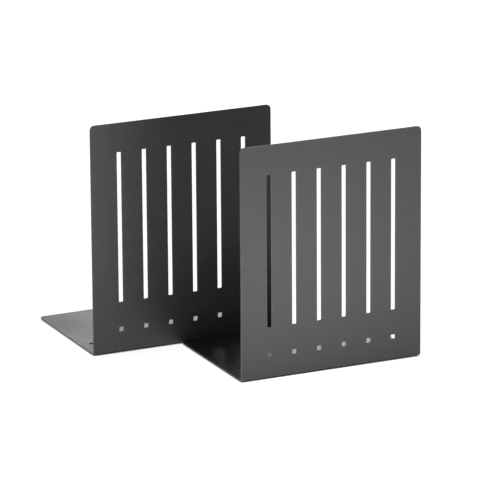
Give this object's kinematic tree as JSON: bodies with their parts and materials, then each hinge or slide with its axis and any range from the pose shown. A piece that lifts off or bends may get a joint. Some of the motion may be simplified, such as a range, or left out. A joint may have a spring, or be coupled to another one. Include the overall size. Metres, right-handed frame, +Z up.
{
  "type": "book ends",
  "caption": "Pair of L-shaped bent-sheet book ends with rounded corners, rows of slots and square holes in the uprights, and anti-slip pads under the feet.",
  "frame": {"origin": "bottom centre of the pair as it stands, on the surface under the anti-slip pads", "axes": "+Z up; the uprights face -Y and the feet run back along +Y; the right book end stands nearer -Y and further along +X"},
  "size_m": [0.2976, 0.2904, 0.241],
  "materials": {
    "powder_coat": "satin fine-textured powder coat, anthracite",
    "pad_rubber": "matte"
  },
  "bodies": {
    "left": {"left_bookend": "powder_coat", "left_pad_front_left": "pad_rubber", "left_pad_front_right": "pad_rubber", "left_pad_back_left": "pad_rubber", "left_pad_back_right": "pad_rubber"},
    "right": {"right_bookend": "powder_coat", "right_pad_front_left": "pad_rubber", "right_pad_front_right": "pad_rubber", "right_pad_back_left": "pad_rubber", "right_pad_back_right": "pad_rubber"}
  },
  "joints": [
    {"name": "right_slide", "type": "slide", "parent": "left", "child": "right", "axis": [0, -1, 0], "range_m": [0, 0.3]}
  ]
}
